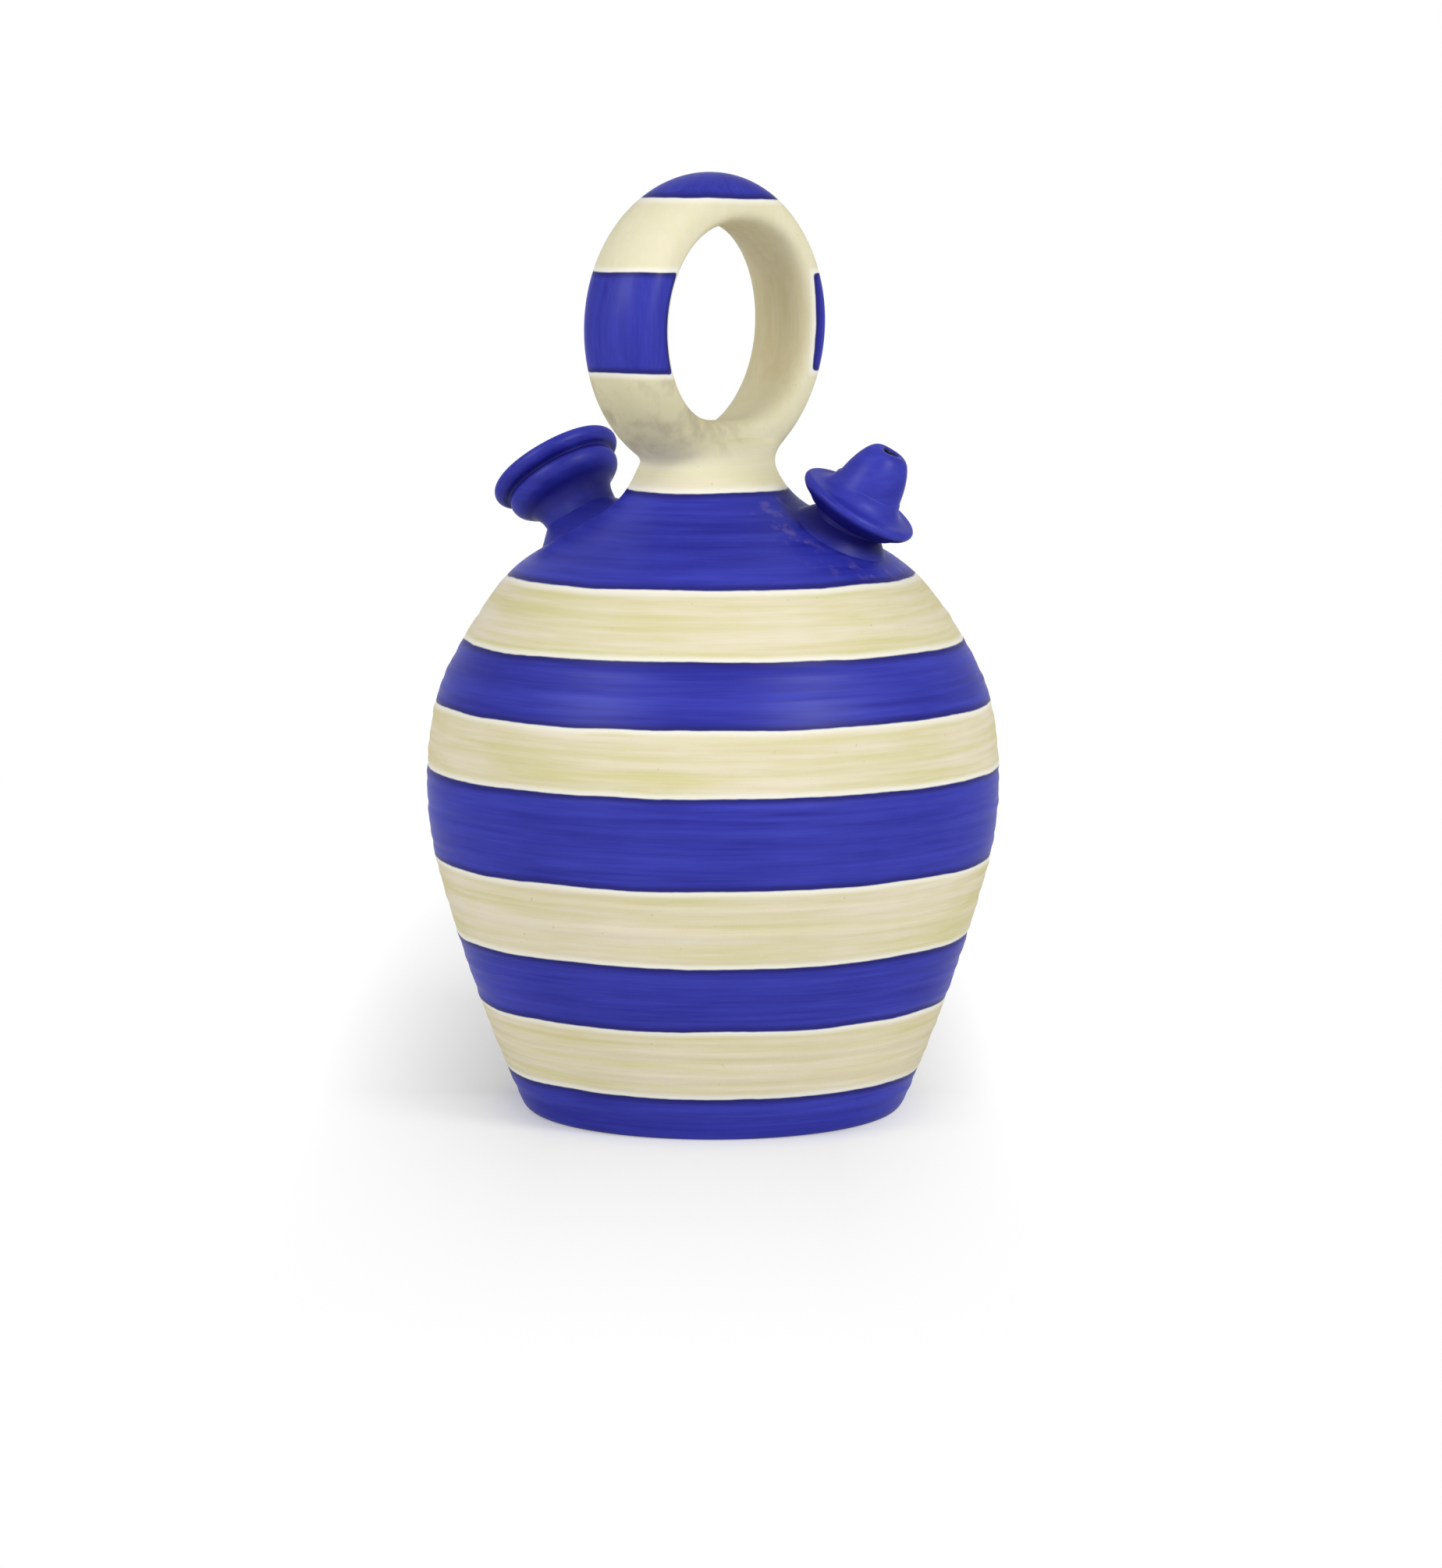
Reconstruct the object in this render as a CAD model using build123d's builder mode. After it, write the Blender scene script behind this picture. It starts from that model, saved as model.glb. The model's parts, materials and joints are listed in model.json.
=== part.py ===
from build123d import *
import math
import os

# A Spanish botijo: a clay water jug with a filling mouth, a drinking spout and a carrying ring.
# Millimetres, +Z up. The origin is the middle of the base, and the spout points along +X.
# The pieces are those that a potter throws or rolls and then lutes together with slip.

# Body outline, turned about the upright axis
foot_radius = 65.0
foot_rounding = 3.0
girth_radius = 98.6
girth_height = 114.5
belly_radius = 120.0  # curve just below the girth, and how far it turns
belly_turn = 15.0
rise_radius = 128.0  # four curves from the girth up to the straight cone
rise_turn = 11.0
haunch_radius = 60.0
haunch_turn = 16.0
slope_radius = 180.0
slope_turn = 9.5
brow_radius = 50.0
brow_turn = 22.9
crown_radius = 31.0  # flat seat on top, where the stem stands

# Clay thickness and the coils pressed into the inside of the joints
wall = 7.0
floor_thickness = 9.0
girth_coil_reach = 8.0
girth_coil_depth = 3.5
floor_coil_reach = 6.0
floor_coil_hollow = 1.2

# Stem and carrying ring
stem_offset = 1.8  # the stem was set a little towards the mouth
waist_radius = 22.4
stem_flare = 1.0
stem_cap_radius = 9.0
stem_cap_bulge = 1.6
stem_cap_clearance = 0.6  # the cap stays this far below the hole of the ring
ring_azimuth = 71.3
ring_lean = 1.2
ring_hole_radius = 34.2
ring_hole_land = 12.0  # length of the straight wall inside the ring
ring_half_width = 15.0
ring_inner_depth = 7.8  # from the hole out to the edges of the strap
ring_outer_depth = 10.3  # from the edges out to the crown of the strap
ring_stand = 7.9  # the ring's lowest point lies this far above the crown of the body
ring_sink = 10.1  # and this far under the waist of the stem

# Filling mouth, measured along its own axis from the shoulder
mouth_azimuth = 166.5
mouth_gap = 4.3  # from the crown of the body to the toe of the mouth's coil
mouth_tilt = 35.7
mouth_throat_radius = 10.6
mouth_wall = 4.0
mouth_neck_length = 9.0  # bare neck between the coil and the bead
bead_reach = 5.8  # how far the bead, the groove and the lip stand out from the neck
groove_reach = 2.4
lip_reach = 9.4
bead_rounding = 3.5
groove_width = 1.2
lip_rounding = 3.4
funnel_depth = 17.0
mouth_coil_width = 5.5
mouth_coil_height = 5.5
mouth_coil_hollow = 1.4

# Drinking spout, measured along its own axis from the shoulder
spout_gap = 1.2  # from the crown of the body to the toe of the spout's coil
spout_tilt = 32.4
spout_bore_radius = 4.0
spout_neck_radius = 14.2
spout_neck_length = 1.6  # bare neck between the coil and the flange
drinking_hole_radius = 2.2
drinking_hole_depth = 8.0
flange_seat = 1.8  # width of the step on the neck that carries the flange
flange_rise = 6.0  # from that step up to the middle of the rim
flange_reach = 6.8  # how far the rim stands out from the neck
flange_rounding = 2.3
flange_dish = 0.7
nipple_foot = 1.6  # heights of the nipple above the flange
nipple_belly_rise = 10.1
nipple_rise = 19.6
nipple_belly_radius = 10.9
nipple_tip_radius = 4.8
nipple_tip_rounding = 3.4
spout_coil_width = 4.0
spout_coil_height = 4.0
spout_coil_hollow = 1.0

coil_toe_drop = 4.0  # the toe of a luting coil lies this far under its seat, on the falling shoulder

os.makedirs("parts", exist_ok=True)


def save(builder, label):
    builder.part.label = label
    export_step(builder.part, f"parts/{label}.step")


# Outline of the body, as a line that can be moved in by the thickness of the wall
shoulder_curves = [
    (rise_radius, rise_turn),
    (haunch_radius, haunch_turn),
    (slope_radius, slope_turn),
    (brow_radius, brow_turn),
]
cone_turn = math.radians(sum(turn for radius, turn in shoulder_curves))
belly_end = (
    girth_radius - belly_radius * (1 - math.cos(math.radians(belly_turn))),
    girth_height - belly_radius * math.sin(math.radians(belly_turn)),
)
flank_chord = Vector(foot_radius - belly_end[0], -belly_end[1])
flank_inward = Vector(-math.cos(math.radians(belly_turn)), math.sin(math.radians(belly_turn)))
flank_radius = flank_chord.dot(flank_chord) / (2 * flank_chord.dot(flank_inward))
flank_turn = 2 * math.degrees(math.asin(flank_chord.dot(flank_inward) / flank_chord.length))
flank_middle = Vector(*belly_end) + flank_inward * flank_radius


def shoulder_at(radius, inset=0.0):
    # Height of the shoulder's outline at a radius, on its curves or on the straight cone above them
    reached = girth_radius - inset
    height = girth_height
    before = 0.0
    for curve_radius, turn in shoulder_curves:
        bend = curve_radius - inset
        after = before + math.radians(turn)
        end = reached - bend * (math.cos(before) - math.cos(after))
        if radius > end:
            angle = math.acos(math.cos(before) - (reached - radius) / bend)
            return height + bend * (math.sin(angle) - math.sin(before))
        reached = end
        height += bend * (math.sin(after) - math.sin(before))
        before = after
    return height + (reached - radius) / math.tan(cone_turn)


def cone_radius(height, inset=0.0):
    # Radius of the straight cone at a height
    return (shoulder_at(0.0, inset) - height) * math.tan(cone_turn)


def flank_at(height, inset=0.0):
    # Radius of the flank, below the belly's curve, at a height
    rise = height - flank_middle.Y
    reach = math.sqrt((flank_radius - inset) ** 2 - rise**2)
    return flank_middle.X + math.copysign(reach, flank_radius)


def body_outline(inset, top_radius, top_height):
    # Half of the body's section, from the axis at the foot to the axis at the top
    girth = (girth_radius - inset, girth_height)
    belly = JernArc(girth, (0, -1), belly_radius - inset, -belly_turn)
    flank = JernArc(belly @ 1, belly % 1, flank_radius - inset, -flank_turn)
    Line(flank @ 1, (0, (flank @ 1).Y))
    Line((0, (flank @ 1).Y), (0, top_height))
    Line((0, top_height), (top_radius, top_height))
    end = girth
    heading = (0, 1)
    for curve_radius, turn in shoulder_curves:
        curve = JernArc(end, heading, curve_radius - inset, turn)
        end = curve @ 1
        heading = curve % 1
    Line(end, (top_radius, top_height))


crown_height = shoulder_at(crown_radius)
ceiling_height = crown_height - wall

with BuildPart() as envelope:
    with BuildSketch(Plane.XZ):
        with BuildLine():
            body_outline(0.0, crown_radius, crown_height)
        make_face()
    revolve(axis=Axis.Z)
    fillet(envelope.edges().group_by(Axis.Z)[0], foot_rounding)

with BuildPart() as cavity:
    with BuildSketch(Plane.XZ):
        with BuildLine():
            body_outline(wall, cone_radius(ceiling_height, wall), ceiling_height)
        make_face()
    revolve(axis=Axis.Z)
    split(bisect_by=Plane.XY.offset(floor_thickness), keep=Keep.TOP)


# Radii and heights of the mouth and the spout, along their own axes
mouth_neck_radius = mouth_throat_radius + mouth_wall
mouth_coil_radius = mouth_neck_radius + mouth_coil_width
bead_height = mouth_coil_height + mouth_neck_length + bead_rounding
lip_height = bead_height + bead_rounding + groove_width + lip_rounding
throat_height = lip_height - funnel_depth
spout_coil_radius = spout_neck_radius + spout_coil_width
flange_root = spout_coil_height + spout_neck_length
flange_height = flange_root + flange_rise
flange_top = flange_height + flange_rounding
nipple_radius = spout_neck_radius - flange_seat
nipple_height = flange_top + nipple_rise


# Seats of the mouth and the spout on the cone, and the planes that their outlines are drawn on
def seat_frame(azimuth, coil_radius, gap, tilt):
    distance = crown_radius + gap + coil_radius * math.sin(cone_turn)
    outward = Vector(1, 0, 0).rotate(Axis.Z, azimuth)
    across = Vector(0, 1, 0).rotate(Axis.Z, azimuth)
    seat = outward * distance + Vector(0, 0, shoulder_at(distance))
    along = outward * math.sin(math.radians(tilt)) + Vector(0, 0, math.cos(math.radians(tilt)))
    drawing = Plane(origin=seat, x_dir=across, z_dir=across.cross(along))
    boring = Plane(origin=seat, x_dir=across, z_dir=along)
    return drawing, boring, Axis(seat, along)


mouth_drawing, mouth_boring, mouth_axis = seat_frame(mouth_azimuth, mouth_coil_radius, mouth_gap, mouth_tilt)
spout_drawing, spout_boring, spout_axis = seat_frame(0.0, spout_coil_radius, spout_gap, spout_tilt)

# Floor: a slab with a rounded edge
with BuildPart() as floor_disc:
    add(envelope.part)
    split(bisect_by=Plane.XY.offset(floor_thickness), keep=Keep.BOTTOM)
save(floor_disc, "floor_disc")

# Belly: the lower half, standing on the slab
with BuildPart() as belly_wall:
    add(envelope.part)
    add(cavity.part, mode=Mode.SUBTRACT)
    split(bisect_by=Plane.XY.offset(girth_height), keep=Keep.BOTTOM)
    split(bisect_by=Plane.XY.offset(floor_thickness), keep=Keep.TOP)
save(belly_wall, "belly_wall")

# Shoulder: the upper half, turned over on the lower one, pierced under the mouth and the spout
with BuildPart() as shoulder_dome:
    add(envelope.part)
    add(cavity.part, mode=Mode.SUBTRACT)
    split(bisect_by=Plane.XY.offset(girth_height), keep=Keep.TOP)
    with BuildSketch(mouth_boring):
        Circle(mouth_throat_radius)
    extrude(amount=wall + mouth_throat_radius, both=True, mode=Mode.SUBTRACT)
    with BuildSketch(spout_boring):
        Circle(spout_bore_radius)
    extrude(amount=wall + spout_bore_radius, both=True, mode=Mode.SUBTRACT)
save(shoulder_dome, "shoulder_dome")

# Coil pressed into the inside corner between the floor and the wall
with BuildPart() as floor_coil:
    with BuildSketch(Plane.XZ):
        with BuildLine():
            corner = (flank_at(floor_thickness, wall), floor_thickness)
            coil_top = floor_thickness + floor_coil_reach
            coil_middle = (floor_thickness + coil_top) / 2
            against_wall = ThreePointArc(
                corner,
                (flank_at(coil_middle, wall), coil_middle),
                (flank_at(coil_top, wall), coil_top),
            )
            toe = (corner[0] - floor_coil_reach, floor_thickness)
            SagittaArc(against_wall @ 1, toe, floor_coil_hollow)
            Line(toe, corner)
        make_face()
    revolve(axis=Axis.Z)
save(floor_coil, "floor_coil")

# Coil pressed over the inside of the seam, along the two curves that meet at the girth
with BuildPart() as girth_coil:
    with BuildSketch(Plane.XZ):
        with BuildLine():
            seam = (girth_radius - wall, girth_height)
            turn_up = math.degrees(girth_coil_reach / (rise_radius - wall))
            turn_down = math.degrees(girth_coil_reach / (belly_radius - wall))
            above = JernArc(seam, (0, 1), rise_radius - wall, turn_up)
            below = JernArc(seam, (0, -1), belly_radius - wall, -turn_down)
            ThreePointArc(above @ 1, (seam[0] - girth_coil_depth, girth_height), below @ 1)
        make_face()
    revolve(axis=Axis.Z)
save(girth_coil, "girth_coil")

# Carrying ring: a strap with a rounder outer face, standing upright over the stem
ring_along = Vector(1, 0, 0).rotate(Axis.Z, ring_azimuth)
ring_across = ring_along.cross(Vector(0, 0, 1))
lean = math.radians(ring_lean)
ring_up = Vector(0, 0, 1) * math.cos(lean) + ring_across * math.sin(lean)
ring_through = ring_across * math.cos(lean) - Vector(0, 0, 1) * math.sin(lean)
stem_middle = Vector(-stem_offset, 0, 0)
ring_bottom = stem_middle + Vector(0, 0, crown_height + ring_stand)
ring_edge_radius = ring_hole_radius + ring_inner_depth
ring_middle = ring_bottom + ring_up * (ring_edge_radius + ring_outer_depth)
ring_drawing = Plane(origin=ring_middle, x_dir=ring_along, z_dir=ring_along.cross(ring_through))

with BuildPart() as ring_handle:
    with BuildSketch(ring_drawing):
        with BuildLine():
            land = ring_hole_land / 2
            side = ring_half_width - land
            EllipticalCenterArc((ring_edge_radius, 0), ring_outer_depth, ring_half_width, -90, arc_size=180)
            upper = EllipticalCenterArc((ring_edge_radius, land), ring_inner_depth, side, 90, arc_size=90)
            lower = EllipticalCenterArc((ring_edge_radius, -land), ring_inner_depth, side, 180, arc_size=90)
            Line(upper @ 1, lower @ 0)
        make_face()
    revolve(axis=Axis(ring_middle, ring_through))
save(ring_handle, "ring_handle")

# Stem: flared onto the crown, with a cap that closes up against both sides of the ring
with BuildPart() as stem:
    with BuildSketch(Plane.XZ.move(Location(stem_middle))):
        with BuildLine():
            foot = (crown_radius - stem_offset, crown_height)
            waist = (waist_radius, ring_bottom.Z + ring_sink)
            cap = (stem_cap_radius, ring_middle.Z - ring_hole_radius - stem_cap_clearance)
            SagittaArc(foot, waist, stem_flare)
            SagittaArc(waist, cap, -stem_cap_bulge)
            Polyline(cap, (0, cap[1]), (0, crown_height), foot)
        make_face()
    revolve(axis=Axis(stem_middle, (0, 0, 1)))
    add(ring_handle.part, mode=Mode.SUBTRACT)
save(stem, "stem")

# Mouth: a neck with a rounded bead, a groove and a flared lip, and a funnel inside
with BuildPart() as mouth_collar:
    with BuildSketch(mouth_drawing):
        with BuildLine():
            bead_middle = (mouth_neck_radius + bead_reach - bead_rounding, bead_height)
            lip_middle = (mouth_neck_radius + lip_reach - lip_rounding, lip_height)
            bead = CenterArc(bead_middle, bead_rounding, -90, 180)
            lip = CenterArc(lip_middle, lip_rounding, -90, 270)
            groove = (mouth_neck_radius + groove_reach, ((bead @ 1).Y + (lip @ 0).Y) / 2)
            Polyline(
                lip @ 1,
                (mouth_throat_radius, throat_height),
                (mouth_throat_radius, -mouth_neck_radius),
                (mouth_neck_radius, -mouth_neck_radius),
                (mouth_neck_radius, mouth_coil_height),
                bead @ 0,
            )
            Polyline(bead @ 1, groove, lip @ 0)
        make_face()
    revolve(axis=mouth_axis)
    add(envelope.part, mode=Mode.SUBTRACT)
save(mouth_collar, "mouth_collar")


# Luting coils, smoothed into a hollow fillet round the foot of the mouth and of the spout
def foot_coil(label, drawing, axis, neck_radius, coil_radius, height, hollow):
    with BuildPart() as coil:
        with BuildSketch(drawing):
            with BuildLine():
                top = (neck_radius, height)
                toe = (coil_radius, -coil_toe_drop)
                SagittaArc(top, toe, hollow)
                Polyline(toe, (coil_radius, -coil_radius), (neck_radius, -coil_radius), top)
            make_face()
        revolve(axis=axis)
        add(envelope.part, mode=Mode.SUBTRACT)
    save(coil, label)


foot_coil(
    "mouth_coil",
    mouth_drawing,
    mouth_axis,
    mouth_neck_radius,
    mouth_coil_radius,
    mouth_coil_height,
    mouth_coil_hollow,
)
foot_coil(
    "spout_coil",
    spout_drawing,
    spout_axis,
    spout_neck_radius,
    spout_coil_radius,
    spout_coil_height,
    spout_coil_hollow,
)

# Spout: one thrown tube, with a domed nipple above and a narrow drinking hole at its tip
with BuildPart() as spout_tube:
    with BuildSketch(spout_drawing):
        with BuildLine():
            nipple_base = (nipple_radius, flange_top + nipple_foot)
            tip_side = (nipple_tip_radius + nipple_tip_rounding, nipple_height - nipple_tip_rounding)
            tip_top = (nipple_tip_radius, nipple_height)
            nipple_belly = (nipple_belly_radius, flange_top + nipple_belly_rise)
            Spline(nipple_base, nipple_belly, tip_side, tip_top)
            Polyline(
                tip_top,
                (drinking_hole_radius, nipple_height),
                (drinking_hole_radius, nipple_height - drinking_hole_depth),
                (spout_bore_radius, nipple_height - drinking_hole_depth - spout_bore_radius),
                (spout_bore_radius, -spout_neck_radius),
                (spout_neck_radius, -spout_neck_radius),
                (spout_neck_radius, flange_root),
                (nipple_radius, flange_root),
                nipple_base,
            )
        make_face()
    revolve(axis=spout_axis)
    add(envelope.part, mode=Mode.SUBTRACT)
save(spout_tube, "spout_tube")

# Drip flange: a dished disc slipped down over the nipple onto the step of the neck
with BuildPart() as drip_flange:
    with BuildSketch(spout_drawing):
        with BuildLine():
            rim_middle = (spout_neck_radius + flange_reach - flange_rounding, flange_height)
            rim = CenterArc(rim_middle, flange_rounding, -90, 180)
            dish_end = (nipple_radius, flange_top)
            SagittaArc(rim @ 1, dish_end, -flange_dish)
            Polyline(
                dish_end,
                (nipple_radius, flange_root),
                (spout_neck_radius, flange_root),
                rim @ 0,
            )
        make_face()
    revolve(axis=spout_axis)
save(drip_flange, "drip_flange")
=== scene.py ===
import json
import math

import bmesh
import bpy
import numpy as np
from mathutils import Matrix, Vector

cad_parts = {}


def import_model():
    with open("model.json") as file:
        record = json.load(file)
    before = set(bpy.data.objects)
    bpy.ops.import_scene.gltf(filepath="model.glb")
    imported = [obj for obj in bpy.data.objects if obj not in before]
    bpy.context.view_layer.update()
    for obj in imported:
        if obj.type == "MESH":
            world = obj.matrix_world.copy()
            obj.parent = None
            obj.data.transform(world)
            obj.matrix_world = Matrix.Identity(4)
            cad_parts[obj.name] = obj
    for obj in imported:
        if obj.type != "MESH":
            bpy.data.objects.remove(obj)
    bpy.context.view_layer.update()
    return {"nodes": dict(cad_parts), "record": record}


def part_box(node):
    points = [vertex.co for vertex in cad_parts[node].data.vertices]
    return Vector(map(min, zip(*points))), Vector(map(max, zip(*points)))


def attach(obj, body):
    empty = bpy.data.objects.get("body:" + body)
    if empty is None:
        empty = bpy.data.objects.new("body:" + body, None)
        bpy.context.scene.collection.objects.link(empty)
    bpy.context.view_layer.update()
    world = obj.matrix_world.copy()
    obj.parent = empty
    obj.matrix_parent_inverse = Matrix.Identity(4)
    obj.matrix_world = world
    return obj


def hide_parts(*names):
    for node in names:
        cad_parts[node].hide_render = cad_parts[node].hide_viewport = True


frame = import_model()
mounts = {mount["name"]: mount for mount in frame["record"]["mounts"]}
mm = 0.001  # shapes are worked out in millimetres, and newPiece turns them into metres
upward = (0.0, 0.0, 1.0)
sectionStep = 0.8  # about how far apart the points of a section line lie
smoothParts = 8  # steps of a smooth line from one of its points to the next
weldDistance = 1e-6  # in metres
sharpEdge = 50.0  # an edge is sharp where its faces turn by more degrees than this
tiny = 1e-6  # keeps a divisor above nothing
print("frame loaded")


# Section lines, as points of radius and height

def arcLine(start, heading, radius, turn):
    # heading and turn in degrees, and a left turn is positive
    side = math.copysign(1, turn)
    count = max(2, round(radius * math.radians(abs(turn)) / sectionStep))
    angles = np.radians(heading + np.linspace(0, turn, count + 1))
    middle = complex(*start) + side * radius * 1j * np.exp(1j * math.radians(heading))
    points = middle - side * radius * 1j * np.exp(1j * angles)
    return np.stack((points.real, points.imag), 1)


def straightLine(start, end, step=sectionStep):
    count = max(2, round(math.dist(start, end) / step))
    return np.linspace(start, end, count + 1)


def smoothLine(points):
    # a curve through all the points, which eases into the first and the last
    points = np.asarray(points, float)
    before = np.vstack((2 * points[0] - points[1], points[:-1]))[:-1]
    after = np.vstack((points[2:], 2 * points[-1] - points[-2]))
    share = np.linspace(0, 1, smoothParts, endpoint=False)[None, :, None]
    a, b = points[:-1, None], points[1:, None]
    leave = (b - before[:, None]) / 2
    arrive = (after[:, None] - a) / 2
    line = (
        a * (2 * share**3 - 3 * share**2 + 1)
        + leave * (share**3 - 2 * share**2 + share)
        + b * (3 * share**2 - 2 * share**3)
        + arrive * (share**3 - share**2)
    )
    return np.vstack((line.reshape(-1, 2), points[-1:]))


# Grids of points turned round an axis, and the pieces made from them

def placeAt(origin, along):
    along = np.asarray(along, float)
    along = along / np.linalg.norm(along)
    across = np.cross((0.0, 1.0, 0.0), along)
    across = across / np.linalg.norm(across)
    return dict(origin=np.asarray(origin, float), x=across, y=np.cross(along, across), z=along)


def spin(section, place, columns):
    section = np.asarray(section, float)
    if section.ndim == 2:
        section = np.repeat(section[:, None], columns, axis=1)
    angle = np.linspace(0, 2 * math.pi, columns, endpoint=False)[:, None]
    outward = np.cos(angle) * place["x"] + np.sin(angle) * place["y"]
    return place["origin"] + section[..., :1] * outward + section[..., 1:] * place["z"]


def newPiece(name, rows, materials, node, loop=False, inner=None):
    # rows of points wrap round. A loop joins the last row to the first, other grids end in two poles
    count, columns = rows.shape[:2]
    ring = np.arange(columns)
    beside = np.roll(ring, -1)
    faces = []
    marks = []
    for row in range(count if loop else count - 1):
        first, second = row * columns, (row + 1) % count * columns
        quads = np.stack((first + ring, first + beside, second + beside, second + ring), 1)
        faces.extend(quads.tolist())
        marks.extend([int(inner is not None and inner(row))] * columns)
    mesh = bpy.data.meshes.new(name)
    mesh.from_pydata((rows.reshape(-1, 3) * mm).tolist(), [], faces)
    mesh.polygons.foreach_set("material_index", marks)
    for material in materials:
        mesh.materials.append(material)
    work = bmesh.new()
    work.from_mesh(mesh)
    bmesh.ops.remove_doubles(work, verts=work.verts, dist=weldDistance)
    bmesh.ops.recalc_face_normals(work, faces=work.faces)
    work.to_mesh(mesh)
    work.free()
    mesh.shade_smooth()
    mesh.set_sharp_from_angle(angle=math.radians(sharpEdge))
    piece = bpy.data.objects.new(name, mesh)
    bpy.context.scene.collection.objects.link(piece)
    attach(piece, "root")
    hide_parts(node)
    print("made", name, len(mesh.polygons), "faces")
    return piece


# Soft joints: fields are distances from a surface, and a skirt follows the blend of two of them

def softUnion(first, second, reach):
    share = np.clip(reach - np.abs(first - second), 0, None) / reach
    return np.minimum(first, second) - share**2 * reach / 4


def traceSkirt(
    place, start, heading, field, begins, ends, columns, rows, stride=0.5, longest=75.0, corrections=4
):
    # walks along field = 0 in half planes round an axis, from where it begins to where the blend ends
    def world(point):
        return spin(point[None], place, columns)[0]

    def slopeAt(point, nudge=0.02):
        steps = np.array(((nudge, 0.0), (0.0, nudge)))
        return np.stack([
            (field(world(point + step)) - field(world(point - step))) / (2 * nudge) for step in steps
        ], 1)

    point = np.repeat(np.asarray(start, float)[None], columns, axis=0)
    direction = np.repeat(np.asarray(heading, float)[None], columns, axis=0)
    path, opened, closed = [], [], []
    for _ in range(int(longest / stride)):
        for _ in range(corrections):
            slope = slopeAt(point)
            point = point - (field(world(point)) / (slope**2).sum(1))[:, None] * slope
        path.append(point)
        opened.append(begins(world(point)))
        closed.append(ends(world(point)))
        tangent = np.stack((-slope[:, 1], slope[:, 0]), 1)
        tangent /= np.linalg.norm(tangent, axis=1)[:, None]
        tangent *= np.sign((tangent * direction).sum(1))[:, None]
        point = point + stride * tangent
        direction = tangent
    path, opened, closed = np.array(path), np.array(opened), np.array(closed)
    section = np.zeros((rows, columns, 2))
    for column in range(columns):
        low = crossing(opened[:, column], 0)
        high = crossing(-closed[:, column], math.ceil(low))
        spots = np.linspace(low, high, rows)
        for side in (0, 1):
            section[:, column, side] = np.interp(spots, np.arange(len(path)), path[:, column, side])
    return section


def crossing(values, after):
    # where a run of values first falls below zero, between two steps
    for index in range(after, len(values)):
        if values[index] < 0:
            if index == after:
                return float(index)
            above, below = values[index - 1], values[index]
            return index - 1 + above / (above - below)
    return float(len(values) - 1)


# Colours and shader maths

def screenColour(red, green, blue):
    # a colour as a screen shows it, from 0 to 255
    parts = [value / 255 for value in (red, green, blue)]
    return tuple(p / 12.92 if p < 0.04045 else ((p + 0.055) / 1.055) ** 2.4 for p in parts) + (1.0,)


class Flow:
    # one socket of a shader tree, whose sums and products add Math nodes
    def __init__(self, tree, socket=None):
        self.tree = tree
        self.socket = socket

    def node(self, kind, settings=None, inputs=None, output=0):
        made = self.tree.nodes.new("ShaderNode" + kind)
        for key, value in (settings or {}).items():
            setattr(made, key, value)
        for key, value in (inputs or {}).items():
            if isinstance(value, Flow):
                self.tree.links.new(value.socket, made.inputs[key])
            else:
                made.inputs[key].default_value = value
        return Flow(self.tree, made.outputs[output] if len(made.outputs) else None)

    def math(self, operation, first, second=0.0):
        return self.node("Math", {"operation": operation}, {0: first, 1: second})

    def __add__(self, other):
        return self.math("ADD", self, other)

    def __sub__(self, other):
        return self.math("SUBTRACT", self, other)

    def __rsub__(self, other):
        return self.math("SUBTRACT", other, self)

    def __mul__(self, other):
        return self.math("MULTIPLY", self, other)

    def __truediv__(self, other):
        return self.math("DIVIDE", self, other)

    __radd__ = __add__
    __rmul__ = __mul__

    def least(self, other):
        return self.math("MINIMUM", self, other)

    def most(self, other):
        return self.math("MAXIMUM", self, other)

    def step(self, low, high):
        sockets = {"Value": self, "From Min": low, "From Max": high}
        return self.node("MapRange", {"interpolation_type": "SMOOTHSTEP"}, sockets)

    def ramp(self, low, high):
        return self.node("MapRange", {}, {"Value": self, "From Min": low, "From Max": high})

    def stretched(self, factors):
        return self.node("VectorMath", {"operation": "MULTIPLY"}, {0: self, 1: factors})

    def dot(self, direction):
        return self.node("VectorMath", {"operation": "DOT_PRODUCT"}, {0: self, 1: direction}, "Value")

    def distance(self, point):
        return self.node("VectorMath", {"operation": "DISTANCE"}, {0: self, 1: point}, "Value")

    def noise(self, scale, detail, rough):
        sockets = {"Vector": self, "Scale": scale, "Detail": detail, "Roughness": rough}
        return self.node("TexNoise", {}, sockets)

    def swing(self, scale, detail, rough):
        # noise about zero
        return self.noise(scale, detail, rough) - 0.5

    def mix(self, first, second):
        return self.node("Mix", {"data_type": "RGBA"}, {0: self, 6: first, 7: second}, 2)


# Places that the frame gives

ringMount = mounts["carrying_ring"]
ringMiddle = np.array(ringMount["pos_m"]) / mm
ringThrough = np.array(ringMount["axis"])
ringAlong = np.cross(upward, ringThrough)
ringAlong = ringAlong / np.linalg.norm(ringAlong)
ringUp = np.cross(ringThrough, ringAlong)


# Finishes: cream slip with blue paint, and bare clay

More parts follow.
